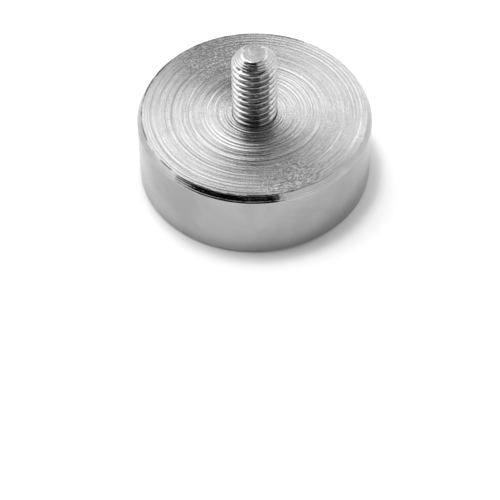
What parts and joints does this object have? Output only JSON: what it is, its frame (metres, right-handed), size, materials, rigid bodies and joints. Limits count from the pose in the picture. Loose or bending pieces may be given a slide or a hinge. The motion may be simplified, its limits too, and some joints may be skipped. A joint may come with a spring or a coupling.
{
  "type": "pot magnet",
  "caption": "Round steel cup magnet with an external-thread stud standing on the middle of its closed back.",
  "frame": {"origin": "centre of the holding face, in the plane of the pot's rim", "axes": "+Z along the stud, from the holding face to the stud's tip; X and Y lie in the rim plane, and no feature fixes them"},
  "size_m": [0.025, 0.025, 0.017],
  "materials": {
    "pot": "turned steel under bright plating",
    "stud": "rolled thread, bright plating",
    "magnet": "satin nickel plating",
    "potting": "set resin"
  },
  "bodies": {
    "root": {"pot": "pot", "threaded_stud": "stud", "magnet": "magnet", "potting_ring": "potting"}
  },
  "joints": []
}
